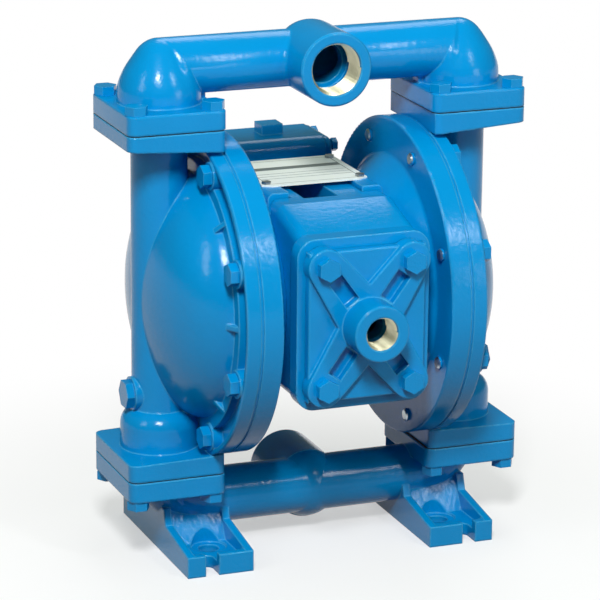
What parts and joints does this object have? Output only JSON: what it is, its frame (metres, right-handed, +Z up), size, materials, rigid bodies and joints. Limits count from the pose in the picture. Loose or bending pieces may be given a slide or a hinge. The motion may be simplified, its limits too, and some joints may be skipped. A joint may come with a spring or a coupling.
{
  "type": "air operated diaphragm pump",
  "caption": "Air operated double diaphragm pump with threaded ports, bolted chambers, cast feet, air inlet cover and sliding diaphragm rod.",
  "frame": {"origin": "on the floor under the feet, midway between the two fluid columns and centred on the four foot bolt holes", "axes": "+Z up, -Y towards the discharge port and the air inlet, X along the diaphragm rod from the left chamber to the right one"},
  "size_m": [0.268, 0.2856, 0.3398],
  "materials": {
    "blue_paint": "gloss",
    "black_rubber": "matte",
    "white_rubber": "satin",
    "steel": "machined",
    "bronze": "machined",
    "aluminium": "cast",
    "black_plastic": "matte",
    "plate_metal": "satin"
  },
  "bodies": {
    "pump_body": {"air_inlet_cover": "blue_paint", "air_inlet_cover_bolts": "blue_paint", "air_inlet_gasket": "black_rubber", "air_valve_body": "blue_paint", "air_valve_bolts": "blue_paint", "air_valve_cap_left": "blue_paint", "air_valve_cap_right": "blue_paint", "air_valve_cap_screws": "blue_paint", "air_valve_gasket": "black_rubber", "air_valve_sleeve": "aluminium", "centre_body": "blue_paint", "chamber_bolts_left": "blue_paint", "chamber_bolts_right": "blue_paint", "diaphragm_left": "black_rubber", "diaphragm_right": "black_rubber", "discharge_bolts": "blue_paint", "discharge_gaskets": "black_rubber", "discharge_manifold": "blue_paint", "discharge_seat_left": "steel", "discharge_seat_right": "steel", "drain_plug_left": "blue_paint", "drain_plug_right": "blue_paint", "exhaust_muffler": "black_plastic", "inner_chamber_left": "blue_paint", "inner_chamber_right": "blue_paint", "inner_chamber_screws_left": "steel", "inner_chamber_screws_right": "steel", "name_plate": "plate_metal", "name_plate_screws": "steel", "outer_chamber_left": "blue_paint", "outer_chamber_right": "blue_paint", "pilot_valve_body": "aluminium", "plunger_bushing_left": "bronze", "plunger_bushing_right": "bronze", "rod_bushing_left": "bronze", "rod_bushing_right": "bronze", "rod_seal_left": "black_rubber", "rod_seal_right": "black_rubber", "suction_bolts": "blue_paint", "suction_gaskets": "black_rubber", "suction_manifold": "blue_paint", "suction_seat_left": "steel", "suction_seat_right": "steel"},
    "rod_assembly": {"diaphragm_rod": "steel", "inner_plate_left": "aluminium", "inner_plate_right": "aluminium", "outer_plate_left": "aluminium", "outer_plate_right": "aluminium"},
    "pilot_assembly": {"pilot_spool": "steel", "plunger_left": "steel", "plunger_right": "steel"},
    "main_valve_spool": {"main_spool": "aluminium"},
    "discharge_ball_left": {"discharge_ball_left": "white_rubber"},
    "discharge_ball_right": {"discharge_ball_right": "white_rubber"},
    "suction_ball_left": {"suction_ball_left": "white_rubber"},
    "suction_ball_right": {"suction_ball_right": "white_rubber"}
  },
  "joints": [
    {"name": "rod_slide", "type": "slide", "parent": "pump_body", "child": "rod_assembly", "axis": [1, 0, 0], "range_m": [-0.012, 0.012], "deforming": ["diaphragm_left", "diaphragm_right"]},
    {"name": "pilot_spool_slide", "type": "slide", "parent": "pump_body", "child": "pilot_assembly", "axis": [1, 0, 0], "range_m": [-0.004, 0.004]},
    {"name": "main_spool_slide", "type": "slide", "parent": "pump_body", "child": "main_valve_spool", "axis": [1, 0, 0], "range_m": [-0.008, 0.008]},
    {"name": "discharge_ball_left_lift", "type": "slide", "parent": "pump_body", "child": "discharge_ball_left", "axis": [0, 0, 1], "range_m": [0, 0.007]},
    {"name": "discharge_ball_right_lift", "type": "slide", "parent": "pump_body", "child": "discharge_ball_right", "axis": [0, 0, 1], "range_m": [0, 0.007]},
    {"name": "suction_ball_left_lift", "type": "slide", "parent": "pump_body", "child": "suction_ball_left", "axis": [0, 0, 1], "range_m": [0, 0.007]},
    {"name": "suction_ball_right_lift", "type": "slide", "parent": "pump_body", "child": "suction_ball_right", "axis": [0, 0, 1], "range_m": [0, 0.007]}
  ],
  "couplings": [
    {"joint": "pilot_spool_slide", "follows": "rod_slide", "ratio": 0.33333}
  ]
}
